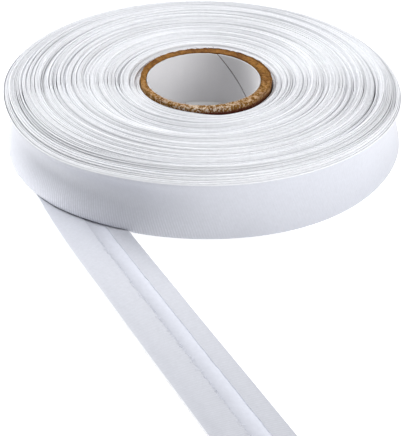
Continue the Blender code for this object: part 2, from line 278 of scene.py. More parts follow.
class LooseEndSizes(bpy.types.PropertyGroup):
    """Sizes and line of the tape's loose end."""
    width: length("Width", "Width of the folded tape, relaxed", 20.3 * MM)
    layer: length("Layer", "Thickness of one layer of cloth", 0.16 * MM, 5)
    fold_height: length(
        "Fold height", "Height of the folded edges' middle above the lower layer's", 0.44 * MM, 5)
    fold_slope: length("Fold slope", "Width over which a folded edge comes down on the lower layer", 4.5 * MM)
    outer_flap: length("Outer flap", "Width of the edge folded in on the roll's outer side", 9.75 * MM)
    inner_flap: length("Inner flap", "Width of the edge folded in on the roll's inner side", 5.6 * MM)
    heading: angle_setting("Heading", "Bearing of the loose end's line", -61.8)
    offset: length("Offset", "Distance of the line from the roll's axis", 61.85 * MM)
    start: length("Start", "Hidden start of the end under the roll", -20.0 * MM)
    end: length("End", "Cut end in front of the roll", 162.0 * MM)
    bend_end: length("Bend end", "Where the line runs straight", 55.0 * MM)
    bend_length: length("Bend length", "Length over which the line moves in", 40.0 * MM)
    bend_shift: length("Bend shift", "How far the line moves in over that length", 2.0 * MM)
    threads: whole("Threads", "Frayed threads along the raw edge", 300)
    seed: whole("Seed", "Seed of the cloth's unevenness", 5)


class CoreSizes(bpy.types.PropertyGroup):
    """Sizes of the board tube and its paper liner."""
    board_inner: length("Board inner radius", "Inner radius of the board", 20.4 * MM)
    board_fall: length(
        "Board fall", "Fall of the board's cut edge from its outer to its inner face, at the back", 0.4 * MM)
    liner_wall: length("Liner wall", "Thickness of the liner paper", 0.35 * MM)
    seam_bearing: angle_setting("Seam bearing", "Bearing of the liner's seam at its foot", 20.2)
    seam_slant: FloatProperty(
        name="Seam slant", description="Turn of the seam in radians for each metre of height",
        default=math.radians(2.78) / MM)
    seam_width: length("Seam width", "Opening of the liner's butt seam", 0.45 * MM)
    fibres: whole("Fibres", "Loose fibres round the board's cut edge", 520)
    seed: whole("Seed", "Seed of the board's torn edge", 3)


class TapeColours(bpy.types.PropertyGroup):
    """Colours of the finishes."""
    edge: colour("Turn edges", "Folded edges of the wound turns", 0.83, 0.84, 0.87)
    satin: colour("Right side", "Smooth side of the tape", 0.59, 0.605, 0.665)
    wrong: colour("Wrong side", "Matt side of the tape", 0.72, 0.74, 0.82)
    kraft: colour("Kraft board", "Brown board of the core", 0.27, 0.13, 0.028)
    kraft_back: colour("Kraft at the back", "Redder board at the back of the core", 0.20, 0.085, 0.04)
    kraft_rim: colour("Kraft rim", "Dark outer skin of the board", 0.075, 0.014, 0.008)
    fibre: colour("Paper fibre", "Pale fibres in the board's cut edge", 0.62, 0.53, 0.43)
    paper: colour("Liner paper", "White paper inside the core", 0.66, 0.655, 0.67)
    floor: colour("Table", "Plain pale table", 0.92, 0.92, 0.92)


class Value:
    """A node's output, which arithmetic turns into Math nodes."""

    def __init__(self, bench, socket):
        self.bench = bench
        self.socket = socket

    def maths(self, operation, *others):
        return self.bench.node("ShaderNodeMath", {"operation": operation}, dict(enumerate((self, *others))))

    def part(self, name):
        """Another output of the same node."""
        return Value(self.bench, self.socket.node.outputs[name])

    def clamped(self):
        return self.bench.node("ShaderNodeClamp", inputs={"Value": self})

    def __add__(self, other):
        return self.maths("ADD", other)

    def __sub__(self, other):
        return self.maths("SUBTRACT", other)

    def __rsub__(self, other):
        return self.maths("MULTIPLY_ADD", -1.0, other)

    def __mul__(self, other):
        return self.maths("MULTIPLY", other)

    def __truediv__(self, other):
        return self.maths("DIVIDE", other)

    __radd__ = __add__
    __rmul__ = __mul__


class Bench:
    """A node tree with one way to add any node."""

    def __init__(self, tree):
        self.tree = tree

    def node(self, kind, settings=None, inputs=None, output=0):
        """A node of that kind, its settings made first, then its inputs linked or set."""
        made = self.tree.nodes.new(kind)
        for name, value in (settings or {}).items():
            if name == "stops":
                self.set_stops(made.color_ramp, value)
            elif name == "points":
                self.set_points(made.mapping, value)
            else:
                setattr(made, name, value)
        for name, value in (inputs or {}).items():
            self.feed(made.inputs[name], value)
        return Value(self, made.outputs[output])

    def feed(self, socket, value):
        """Link a socket to a value's node, or set it to a plain value."""
        if isinstance(value, Value):
            self.tree.links.new(value.socket, socket)
        else:
            socket.default_value = value

    def set_stops(self, ramp, stops):
        """Give a colour ramp its stops of (place, colour)."""
        while len(ramp.elements) < len(stops):
            ramp.elements.new(1.0)
        for element, (place, shade) in zip(ramp.elements, stops):
            element.position = place
            element.color = colour4(shade)

    def set_points(self, mapping, points):
        """Give a curve node its points of (place, value)."""
        curve = mapping.curves[0]
        while len(curve.points) < len(points):
            curve.points.new(0.5, 0.5)
        for point, (place, value) in zip(curve.points, points):
            point.location = (place, value)
            point.handle_type = "AUTO"
        mapping.update()

    def vector(self, operation, *inputs, output=0):
        """A Vector Math node on those vectors."""
        return self.node("ShaderNodeVectorMath", {"operation": operation}, dict(enumerate(inputs)), output)

    def shade(self, colour_or_vector, tone):
        """A colour made lighter or darker by a tone, or a vector made longer or shorter."""
        return self.node("ShaderNodeVectorMath", {"operation": "SCALE"}, {0: colour_or_vector, "Scale": tone})

    def eased(self, value, start, end, first=0.0, last=1.0):
        """A smooth ease from the first number to the last, as a value goes from start to end."""
        return self.node(
            "ShaderNodeMapRange", {"interpolation_type": "SMOOTHSTEP"},
            {"Value": value, "From Min": start, "From Max": end, "To Min": first, "To Max": last})


class Growth(Bench):
    """A geometry node group that grows a piece on a line, with named inputs for its sizes and finish."""

    def __init__(self, name, sizes):
        super().__init__(bpy.data.node_groups.new(name, "GeometryNodeTree"))
        sockets = self.tree.interface
        for label, kind in {"Geometry": "Geometry", **sizes, "Finish": "Material"}.items():
            sockets.new_socket(label, in_out="INPUT", socket_type="NodeSocket" + kind)
        sockets.new_socket("Geometry", in_out="OUTPUT", socket_type="NodeSocketGeometry")
        given = self.tree.nodes.new("NodeGroupInput")
        self.given = {socket.name: Value(self, socket) for socket in given.outputs}
        self.line = self.node("GeometryNodeMeshToCurve", inputs={"Mesh": self.given["Geometry"]})

    def named(self, name, kind="FLOAT"):
        """A value kept on the geometry's points."""
        return self.node("GeometryNodeInputNamedAttribute", {"data_type": kind}, {"Name": name})

    def keep(self, geometry, name, value, kind="FLOAT"):
        """Geometry with a value kept on its points under that name."""
        return self.node(
            "GeometryNodeStoreNamedAttribute", {"data_type": kind, "domain": "POINT"},
            {"Geometry": geometry, "Name": name, "Value": value})

    def swept(self, path, outline):
        """An outline swept along a path, its ends closed."""
        return self.node(
            "GeometryNodeCurveToMesh", inputs={"Curve": path, "Profile Curve": outline, "Fill Caps": True})

    def random_vector(self, low, high, seed):
        """A random vector for each point."""
        return self.node(
            "FunctionNodeRandomValue", {"data_type": "FLOAT_VECTOR"}, {0: low, 1: high, "Seed": seed})

    def finished(self, geometry):
        """The node group, ended with real geometry that has its finish on it."""
        real = self.node("GeometryNodeRealizeInstances", inputs={"Geometry": geometry})
        done = self.node(
            "GeometryNodeSetMaterial", inputs={"Geometry": real, "Material": self.given["Finish"]})
        self.feed(self.tree.nodes.new("NodeGroupOutput").inputs["Geometry"], done)
        return self.tree


# Scale and detail of the finishes' noises
NOISES = {
    "edge slub": (700.0, 3.0),
    "edge cloud": (45.0, 2.0),
    "satin slub": (900.0, 2.0),
    "satin cloud": (60.0, 3.0),
    "rib breaks": (1300.0, 1.0),
    "wrong side cloud": (80.0, 2.0),
    "kraft mottle": (600.0, 5.0),
    "kraft fleck": (1500.0, 2.0),
    "kraft blush": (170.0, 2.0),
    "paper cloud": (120.0, 4.0),
    "paper grain": (1500.0, 2.0),
    "table cloud": (3.0, 1.0),
}


class Finish(Bench):
    """A cloth, board or paper material, with its shader's sockets and the place on the object."""

    def __init__(self, name, roughness, sheen=0.0, specular=0.3):
        self.material = bpy.data.materials.new(name)
        self.material.use_nodes = True
        super().__init__(self.material.node_tree)
        self.sockets = self.tree.nodes["Principled BSDF"].inputs
        self.sockets["Roughness"].default_value = roughness
        self.sockets["Sheen Weight"].default_value = sheen
        self.sockets["Sheen Roughness"].default_value = 0.4
        self.sockets["Specular IOR Level"].default_value = specular
        self.place = self.node("ShaderNodeTexCoord", output=3)

    def noise(self, name):
        scale, detail = NOISES[name]
        return self.node(
            "ShaderNodeTexNoise", inputs={"Vector": self.place, "Scale": scale, "Detail": detail})

    def read(self, name):
        """A value kept on the mesh's points."""
        return self.node("ShaderNodeAttribute", {"attribute_name": name}, output=2)

    def mix(self, factor, first, second):
        """One colour over another by a factor."""
        return self.node(
            "ShaderNodeMix", {"data_type": "RGBA"}, {"Factor": factor, 6: first, 7: second}, output=2)

    def paint(self, base, tone):
        """Give the shader a base colour, made lighter or darker by a tone."""
        self.feed(self.sockets["Base Color"], self.shade(base, tone))

    def raise_surface(self, height, strength, distance):
        """Give the shader a bump of that height, and return the finished material."""
        bump = self.node(
            "ShaderNodeBump", inputs={"Strength": strength, "Distance": distance, "Height": height})
        self.feed(self.sockets["Normal"], bump)
        return self.material


def colour4(shade):
    """A colour as the four numbers that a socket takes."""
    return (*shade, 1.0)


def ease(share):
    """A smooth ease from 0 to 1."""
    share = np.clip(share, 0.0, 1.0)
    return share * share * (3.0 - 2.0 * share)


def read_rows(rows, values, period=None):
    """A two-column table read at these values, in straight runs between its rows."""
    places, results = zip(*rows)
    return np.interp(values, places, results, period=period)


def wander(places, seed):
    """A smooth random wander from -1 to 1, with one turning point for each whole step of the places."""
    places = places - places.min()
    low = np.floor(places).astype(int)
    share = ease(places - low)
    knots = np.random.default_rng(seed).uniform(-1.0, 1.0, low.max() + 2)
    return knots[low] * (1.0 - share) + knots[low + 1] * share


def patches(across, around, count_around, seed):
    """A smooth random field over two directions, the second one closing on itself."""
    across = across - across.min()
    low = np.floor(across).astype(int)
    share = ease(across - low)
    place = (around / 360.0 * count_around) % count_around
    left = np.floor(place).astype(int) % count_around
    part = ease(place - np.floor(place))
    right = (left + 1) % count_around
    knots = np.random.default_rng(seed).uniform(-1.0, 1.0, (low.max() + 2, count_around))
    near = knots[low, left] * (1.0 - part) + knots[low, right] * part
    far = knots[low + 1, left] * (1.0 - part) + knots[low + 1, right] * part
    return near * (1.0 - share) + far * share


def arc_opening(arc, bearing, fade):
    """How far an arc's row applies at each bearing, from 0 to 1."""
    past = (bearing - arc.start) % 360.0
    span = arc.end - arc.start
    opening = np.minimum(ease(past / fade), ease((span - past) / fade))
    return np.where(past > span, 0.0, opening)


def arc_nearness(bearing, middle, spread):
    """A smooth hump from 0 to 1 round a bearing."""
    away = np.abs((bearing - middle + 180.0) % 360.0 - 180.0)
    return 1.0 - ease(away / spread)


def group_rise(radius, bearing):
    """Height of each group of turns above the crown."""
    rise = np.zeros_like(radius)
    inner = GROUPS[0].radius - 2.0
    for group in GROUPS:
        inside = (radius >= inner) & (radius < group.radius)
        share = (radius - inner) / (group.radius - inner)
        lift = group.lift * np.cos(np.radians(bearing - group.bearing)) + group.slope * (0.5 - share)
        rise = np.where(inside, lift, rise)
        inner = group.radius
    return rise


def small_groups(sizes, turn, bearing):
    """Rise, push and painted shade of the small seeded groups of turns, whose bounds wander round the roll:
    painted shade in the dips between groups and a painted highlight on the turn beside each.
    """
    random = np.random.default_rng(sizes.seed)
    counts = random.uniform(SMALL_FEWEST, SMALL_MOST, sizes.turns)
    counts = np.where(np.cumsum(counts) > sizes.turns * RIM_SHARE, counts * RIM_SMALLER, counts)
    ends = np.cumsum(counts)
    phases = np.radians(random.uniform(0.0, 360.0, (5, len(counts))))
    angle = np.radians(bearing)
    place = turn + 1.0 + SMALL_WANDER * np.sin(angle + SMALL_TWIST * turn)
    group = np.searchsorted(ends, place, side="right")
    share = (place - (ends - counts)[group]) / counts[group]
    lift = np.cos(angle - phases[0, group]) + SMALL_SECOND * np.cos(2.0 * angle - phases[1, group])
    slope = SMALL_MEAN_FALL + np.cos(angle - phases[2, group])
    room = 0.5 + 0.5 * np.cos(angle - phases[3, group])
    rise = SMALL_LIFT * lift + SMALL_SLOPE * slope * (0.5 - share)
    away = np.minimum(share, 1.0 - share) * counts[group]
    open_part = SMALL_DIP_MEAN + SMALL_DIP_CHANGE * np.cos(angle - phases[4, group])
    open_part *= ease((turn - SMALL_DIP_START) / SMALL_DIP_EASE)
    dip = open_part * np.exp(-(away / SMALL_DIP_REACH) ** 2)
    ridge_highlight = open_part * np.exp(-((share * counts[group] - RIDGE_PLACE) / SMALL_DIP_REACH) ** 2)
    return rise - SMALL_DIP * dip, SMALL_PUSH * room * (0.5 - share), DIP_PAINTED_SHADE * dip - RIDGE_PAINTED_HIGHLIGHT * ridge_highlight


def drift_out(radius, bearing):
    """How far out from their own circle the turns lie, because they lie towards the back."""
    side = np.sin(np.radians(bearing))
    front = read_rows([(row.radius, row.front) for row in DRIFTS], radius)
    back = read_rows([(row.radius, row.back) for row in DRIFTS], radius)
    return side * (front * (1.0 - side) + back * (1.0 + side)) / 2.0


def levelled(values, closed):
    """Values along the tape, each the mean of the steps round it."""
    half = LEVEL_STEPS // 2
    padded = np.pad(values, half, mode="wrap" if closed else "edge")
    return np.convolve(padded, np.full(LEVEL_STEPS, 1.0 / LEVEL_STEPS), mode="valid")


def passage_rise(end, x, y):
    """How far a turn's lower edge is over the loose end, from 0 to 1, at places in metres."""
    line = np.array((math.cos(end.heading), math.sin(end.heading)))
    along = x * line[0] + y * line[1]
    offset = y * line[0] - x * line[1]
    short = np.maximum(end.bend_end - along, 0.0)
    middle = end.bend_shift * (short / end.bend_length) ** 2 - end.offset
    inside = ease((end.width / 2 + PASSAGE_SIDE[0] - np.abs(offset - middle)) / PASSAGE_SIDE[1])
    return inside * ease((along - end.start + PASSAGE_END[0]) / PASSAGE_END[1])


def bore_and_rim(sizes):
    """Radius of the roll's bore and of its rim, in millimetres."""
    return sizes.bore / MM, (sizes.foot - sizes.foot_spread) / MM


def turn_values(sizes, end, turn, radius, bearing, closed=False):
    """Where the turns stand, step by step, and how far their edges reach, in millimetres."""
    bore, rim = bore_and_rim(sizes)
    rise, push, shade = small_groups(sizes, turn, bearing)
    rise += group_rise(radius, bearing)
    for gap in GAPS:
        opening = arc_opening(gap, bearing, GAP_FADE)
        away = radius - gap.radius
        push += opening * gap.width * 0.5 * np.sign(away) * np.exp(-np.abs(away) / GAP_PUSH_REACH)
        rise -= opening * gap.depth * GAP_SINK * np.exp(-(away / GAP_SINK_REACH) ** 2)
        # Painted shade in the gap, on top of its real dip
        shade += DIP_PAINTED_SHADE * opening * np.exp(-(away / GAP_SINK_REACH) ** 2)
    push *= ease((radius - bore) / PUSH_FADE) * ease((rim - radius) / PUSH_FADE)
    rise = levelled(rise, closed) + read_rows(CROWN, radius)
    push = levelled(push, closed)
    rise += FACE_RISE * patches(radius / FACE_PATCH, bearing, FACE_PATCHES, sizes.seed)
    foot = np.full_like(radius, FOOT_LEVEL)
    uneven = {"crown": rise, "shade": shade, "push": push, "foot": foot}
    if not closed:
        for row in TURN_WANDERS:
            uneven[row.value] += row.size * wander(turn * row.points, sizes.seed + row.seed)
    for valley in VALLEYS:
        hollow = np.exp(-((radius - valley.radius) / valley.reach) ** 2)
        rise -= valley.depth * arc_opening(valley, bearing, VALLEY_FADE) * hollow
    outer = ease((radius - SAG_INNER) / (rim - SAG_INNER))
    rise += outer * RIM_RISE * arc_nearness(bearing, RIM_BEARING, RIM_SPREAD)
    rise -= outer * SAG_DROP * arc_nearness(bearing, SAG_BEARING, SAG_SPREAD)
    lean = ease((radius - LEAN_START) / LEAN_RUN) ** 2
    reach = radius + drift_out(radius, bearing) + push + lean * read_rows(RIMS, bearing, period=360.0)
    aside = BOARD_ASIDE / MM * (1.0 - ease((radius - bore) / (ASIDE_REACH - bore)))
    angle = np.radians(bearing)
    x = reach * np.cos(angle) + aside
    y = reach * np.sin(angle)
    return {
        "x": x,
        "y": y,
        "reach": reach,
        "crown": rise,
        "shade": levelled(shade, closed),
        "foot": foot + sizes.passage / MM * passage_rise(end, x * MM, y * MM),
        "lean": lean,
        "flare": levelled(read_rows(FEET, bearing, period=360.0), closed) * lean,
        "flare_top": read_rows(FOOT_TOPS, bearing, period=360.0),
        "waist": lean * (1.0 + WAIST_MORE * arc_nearness(bearing, WAIST_BEARING, WAIST_SPREAD)),
    }


def wound_paths(sizes, end):
    """The tape as wound: the spiral of all turns but the last, and the outermost turn, closed on itself."""
    bore, rim = bore_and_rim(sizes)
    pitch = (rim - bore) / sizes.turns
    last = sizes.turns - 1
    turn = np.linspace(0.0, last, last * sizes.steps + 1)
    bearing = (turn * 360.0 + LAST_BEARING) % 360.0
    radius = bore + pitch * (0.5 + turn * (last - 1) / last)
    spiral = turn_values(sizes, end, turn, radius, bearing)
    share = np.arange(sizes.steps) / sizes.steps
    bearing = (share * 360.0 + LAST_BEARING) % 360.0
    radius = rim - 1.5 * pitch + pitch * (share + 1.0 - ease(share * 360.0 / LAST_EASE))
    ring = turn_values(sizes, end, last + share * 0.0, radius, bearing, closed=True)
    reach = np.concatenate((spiral["reach"][:-1], ring["reach"], ring["reach"][:1]))
    room_out = reach[sizes.steps:] - reach[:-sizes.steps]
    room_in = np.concatenate((room_out[:sizes.steps], room_out[:-sizes.steps]))
    thickness = sizes.fullness * np.minimum(room_in, room_out)
    spiral["puff"] = np.clip(thickness, sizes.thinnest / MM, sizes.fullest / MM)
    ring["puff"] = np.full(sizes.steps, sizes.last_cloth / MM)
    return spiral, ring


def new_mesh(name, points, edges=(), faces=()):
    """A mesh of those points, edges and faces."""
    mesh = bpy.data.meshes.new(name)
    mesh.from_pydata(points, edges, faces)
    return mesh


def keep_values(mesh, values):
    """Keep numbers on a mesh's points under their names."""
    for name, numbers in values.items():
        layer = mesh.attributes.new(name, "FLOAT", "POINT")
        layer.data.foreach_set("value", numbers.astype(np.float32))


def path_mesh(name, path, first=0, last=None, closed=False):
    """The path between two steps as a line of points that carry its values."""
    kept = {key: values[first:last] for key, values in path.items()}
    count = len(kept["x"])
    points = np.zeros((count, 3))
    for axis, key in enumerate("xyz"):
        if key in kept:
            points[:, axis] = kept.pop(key)
    edges = [(index, index + 1) for index in range(count - 1)]
    if closed:
        edges.append((count - 1, 0))
    mesh = new_mesh(name, points * MM, edges)
    keep_values(mesh, kept)
    return mesh


def quads(rows, columns, down, across, start=0):
    """Faces of a grid whose point numbers grow by those steps down and across."""
    corners = [start + row * down + column * across for row in range(rows) for column in range(columns)]
    return [(first, first + across, first + across + down, first + down) for first in corners]


def face_out(mesh):
    """Turn every face of a mesh outward."""
    shape = bmesh.new()
    shape.from_mesh(mesh)
    bmesh.ops.recalc_face_normals(shape, faces=shape.faces)
    shape.to_mesh(mesh)
    shape.free()


def place_object(name, data):
    """A new object in the scene."""
    made = bpy.data.objects.new(name, data)
    bpy.context.scene.collection.objects.link(made)
    return made


def add_piece(name, mesh, replaces=()):
    """An object of that mesh that rides with the roll."""
    piece = place_object(name, mesh)
    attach(piece, BODY)
    for node in replaces:
        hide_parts(node)
    return piece


def shaped_mesh(thing):
    """A plain mesh of an object as its modifiers shape it."""
    view = bpy.context.evaluated_depsgraph_get()
    view.update()
    return bpy.data.meshes.new_from_object(thing.evaluated_get(view))


def grown_mesh(name, mesh, tree, settings):
    """The mesh that a node group makes of a mesh, with its modifier gone."""
    guide = place_object(name + "_guide", mesh)
    modifier = guide.modifiers.new("Grow", "NODES")
    modifier.node_group = tree
    for item in tree.interface.items_tree:
        if item.in_out == "INPUT" and item.name in settings:
            modifier[item.identifier] = settings[item.name]
    grown = shaped_mesh(guide)
    grown.name = name
    bpy.data.objects.remove(guide, do_unlink=True)
    return grown


def tape_on_edge_tree():
    """The node group that stands folded tape on edge along a path, crowned, puffed, leaning and waisted."""
    grow = Growth("Tape on edge", {"Tape width": "Float", "Outline points": "Int", "Side end": "Float"})
    side_end = grow.given["Side end"]
    place = grow.node("GeometryNodeInputPosition")
    line = grow.node("GeometryNodeSetCurveNormal", {"mode": "Z_UP"}, {"Curve": grow.line})
    line = grow.keep(line, "spine", place, "FLOAT_VECTOR")
    outline = grow.node(
        "GeometryNodeCurvePrimitiveCircle", inputs={"Resolution": grow.given["Outline points"]})
    across = grow.node("ShaderNodeSeparateXYZ", inputs={"Vector": place})
    upward = across.part("Y")
    past_side = (upward.maths("ABSOLUTE") - side_end).maths("MAXIMUM", 0.0) / (1.0 - side_end)
    thick = (1.0 - past_side * past_side).maths("SQRT") * across.maths("SIGN")
    tall = (upward / side_end).maths("MINIMUM", 1.0).maths("MAXIMUM", -1.0)
    for name, value in (("thick", thick), ("cap", past_side * upward.maths("SIGN")), ("tall", tall)):
        outline = grow.keep(outline, name, value)
    stood = grow.swept(line, outline)
    share = grow.named("tall") * 0.5 + 0.5
    puff = grow.named("puff")
    low, high = min(row.reach for row in SIDES), max(row.reach for row in SIDES)
    points = [(row.share, (row.reach - low) / (high - low)) for row in SIDES]
    side = grow.node("ShaderNodeFloatCurve", {"points": points}, {"Value": share}) * (high - low) + low
    reach = side.maths("MAXIMUM", 0.0) * grow.named("lean") + side.maths("MINIMUM", 0.0) * grow.named("waist")
    reach = reach + grow.eased(share, 0.0, grow.named("flare_top"), 1.0, 0.0) * grow.named("flare")
    reach = reach + grow.named("thick") * puff * 0.5
    level = grow.named("foot") * (1.0 - share) + grow.named("crown") * share
    level = level + puff * 0.5 * (grow.named("cap") + 1.0) + share * (grow.given["Tape width"] / MM - puff)
    spine = grow.named("spine", "FLOAT_VECTOR")
    outward = grow.shade(grow.vector("NORMALIZE", spine), reach * MM)
    move = grow.vector("ADD", grow.node("ShaderNodeCombineXYZ", inputs={"Z": level * MM}), outward)
    stand = grow.vector("ADD", spine, move)
    return grow.finished(grow.node("GeometryNodeSetPosition", inputs={"Geometry": stood, "Position": stand}))


# A loose thread: its bends as shares of its length, how far it may turn, its sizes and its full length
THREAD_BENDS = {
    "Start": (0.0, 0.0, 0.0),
    "Start Handle": (0.3, 0.15, 0.12),
    "End Handle": (0.7, -0.1, 0.2),
    "End": (1.0, 0.12, 0.05),
}
THREAD_TURNS = ((-0.5, -0.45, -math.pi), (0.5, 0.15, math.pi))
THREAD_SIZES = (0.35, 1.0)
THREAD_LENGTH = 1.0 * MM


def stray_threads_tree():
    """The node group that scatters short bent threads along a line."""
    sizes = {"Threads": "Int", "Thread length": "Float", "Thread radius": "Float", "Spread": "Float"}
    grow = Growth("Stray threads", {**sizes, "Seed": "Int"})
    given = grow.given
    seed = given["Seed"]
    spots = grow.node("GeometryNodeResampleCurve", inputs={"Curve": grow.line, "Count": given["Threads"]})
    low = grow.shade((-1.0, -1.0, -0.3), given["Spread"])
    high = grow.shade((1.0, 1.0, 0.6), given["Spread"])
    jitter = grow.random_vector(low, high, seed)
    spots = grow.node("GeometryNodeSetPosition", inputs={"Geometry": spots, "Offset": jitter})
    bends = {name: grow.shade(share, given["Thread length"]) for name, share in THREAD_BENDS.items()}
    bent = grow.node("GeometryNodeCurvePrimitiveBezierSegment", inputs={"Resolution": 4, **bends})
    ring = grow.node(
        "GeometryNodeCurvePrimitiveCircle", inputs={"Resolution": 3, "Radius": given["Thread radius"]})
    size = grow.node(
        "FunctionNodeRandomValue", {"data_type": "FLOAT"},
        {2: THREAD_SIZES[0], 3: THREAD_SIZES[1], "Seed": seed + 2.0}, output=1)
    return grow.finished(grow.node("GeometryNodeInstanceOnPoints", inputs={
        "Points": spots,
        "Instance": grow.swept(bent, ring),
        "Rotation": grow.random_vector(*THREAD_TURNS, seed + 1.0),
        "Scale": size,
    }))


def thread_mesh(name, path, threads, radius, spread, seed, finish):
    """Short loose threads scattered along a path."""
    return grown_mesh(name, path_mesh(name, path), stray_threads_tree(), {
        "Threads": threads,
        "Thread length": THREAD_LENGTH,
        "Thread radius": radius,
        "Spread": spread,
        "Seed": seed,
        "Finish": finish,
    })


# Period of the satin's diagonal ribs, and how many of them go round the roll
RIB_PERIOD = 0.9
RIB_RISE = 2.4
RIBS_ROUND = 489

# Where the ribs show on the outermost turn, the weave's own pattern shown strongest where it catches the
# light, so partly a painted glint: middle and half-width in radians, and height where they end
RIBS_MIDDLE = -2.25
RIBS_SPREAD = 0.85
RIBS_TOP = 11.0 * MM

# A painted sheen highlight on the satin, where its floats catch the light low on the front left: middle and
# half-width in radians, height, strength
PAINTED_SHEEN_MIDDLE = -2.33
PAINTED_SHEEN_SPREAD = 0.50
PAINTED_SHEEN_TOP = 8.5 * MM
PAINTED_SHEEN_LIFT = 0.42

# Painted lightness of the loose end at the roll's middle, and its painted shade for each millimetre along it,
# darker towards its cut end
LOOSE_PAINTED_LIGHT = 0.05
LOOSE_PAINTED_SHADE = 0.0012

# Height on a turn's side, or nearness to a fold, from where the folded edge shows whiter
HEM_START = 0.965

# How far below the board's top its dark outer skin begins
SKIN_TOP = 1.3 * MM

# Grain at which the board has that share of its own colour
KRAFT_STOPS = ((0.36, 0.5), (0.48, 1.0), (0.60, 1.5))


def edge_white(finish, colours):
    """White cotton of a folded edge, with its shade and its height."""
    slub = finish.noise("edge slub")
    cloud = finish.noise("edge cloud")
    return finish.shade(tuple(colours.edge), slub * 0.16 + cloud * 0.10 + 0.87), slub


def edge_finish(colours):
    """White cotton of the turns' folded edges, with painted shade in the dips and gaps between turns, a
    painted highlight beside them, and painted shade that differs from turn to turn.
    """
    finish = Finish("turn_edge_cotton", 0.85, 0.1, 0.15)
    white, slub = edge_white(finish, colours)
    # The shade attribute darkens the colour as painted shade, and lightens it as a painted highlight where it
    # is below zero
    finish.paint(white, 1.0 - finish.read("shade"))
    return finish.raise_surface(slub, 0.5, 0.06 * MM)


def ribs_round(finish):
    """Ribs and painted sheen of the outermost turn: its ribs show low on its front left, where a painted
    sheen highlight lightens it.
    """
    middle = finish.vector("SUBTRACT", finish.place, tuple(ROLL_CENTRE))
    parts = finish.node("ShaderNodeSeparateXYZ", inputs={"Vector": middle})
    angle = parts.part("Y").maths("ARCTAN2", parts)
    height = parts.part("Z")
    ribs = (angle * RIBS_ROUND + height * (math.tau / RIB_RISE / MM)).maths("SINE") * 0.5 + 0.5
    # The ribs are the weave's own pattern; this mask paints them stronger where the weave catches the light,
    # a partly painted glint
    near = (1.0 - (angle - RIBS_MIDDLE).maths("ABSOLUTE") / RIBS_SPREAD).clamped()
    painted_sheen = (1.0 - (angle - PAINTED_SHEEN_MIDDLE).maths("ABSOLUTE") / PAINTED_SHEEN_SPREAD).clamped()
    painted_sheen = painted_sheen * (1.0 - height / PAINTED_SHEEN_TOP).clamped() * PAINTED_SHEEN_LIFT
    return ribs * (near * (1.0 - height / RIBS_TOP).clamped() * 1.5 + 0.08), painted_sheen


def ribs_along(finish):
    """Ribs and painted lightness of the loose end, by its own length and width: painted shade darkens it
    towards its cut end.
    """
    phase = (finish.read("along") + finish.read("across")) * (math.tau / RIB_PERIOD)
    return (phase.maths("SINE") * 0.5 + 0.5) * 0.4, LOOSE_PAINTED_LIGHT - finish.read("along") * LOOSE_PAINTED_SHADE


def satin_finish(name, colours, ribs_of):
    """Smooth right side of the tape, with its fine diagonal ribs, painted light (a painted sheen highlight on
    the outermost turn, painted shade along the loose end) and whiter folded edges.
    """
    finish = Finish(name, 0.4, 0.2, 0.5)
    # lift is painted light: the painted sheen highlight on the outermost turn, or the painted shade that
    # darkens the loose end along its length
    ribs, lift = ribs_of(finish)
    ribs = ribs * finish.noise("rib breaks")
    cloud = finish.noise("satin cloud")
    slub = finish.noise("satin slub")
    tone = ribs * 0.38 + lift + cloud * 0.08 + slub * 0.10 + 0.86
    hem = finish.eased(finish.read("tall"), HEM_START, 1.0)
    satin = finish.mix(hem, finish.shade(tuple(colours.satin), tone), edge_white(finish, colours)[0])
    finish.feed(finish.sockets["Base Color"], satin)
    finish.feed(finish.sockets["Roughness"], cloud * 0.2 + 0.30)
    return finish.raise_surface(ribs * 1.8 + slub * 0.8, 0.7, 0.07 * MM)


def wrong_side_finish(colours):
    """Matt wrong side of the tape, with painted shade that darkens its stripe between the flaps from the
    inner flap's raw edge towards the outer flap's.
    """
    finish = Finish("wrong_side_cotton", 0.95, 0.2, 0.1)
    slub = finish.noise("edge slub")
    tone = slub * 0.14 + finish.noise("wrong side cloud") * 0.08 + 0.89
    finish.paint(tuple(colours.wrong), tone * (1.0 - finish.read("dimness") * 0.28))
    return finish.raise_surface(slub, 0.5, 0.06 * MM)


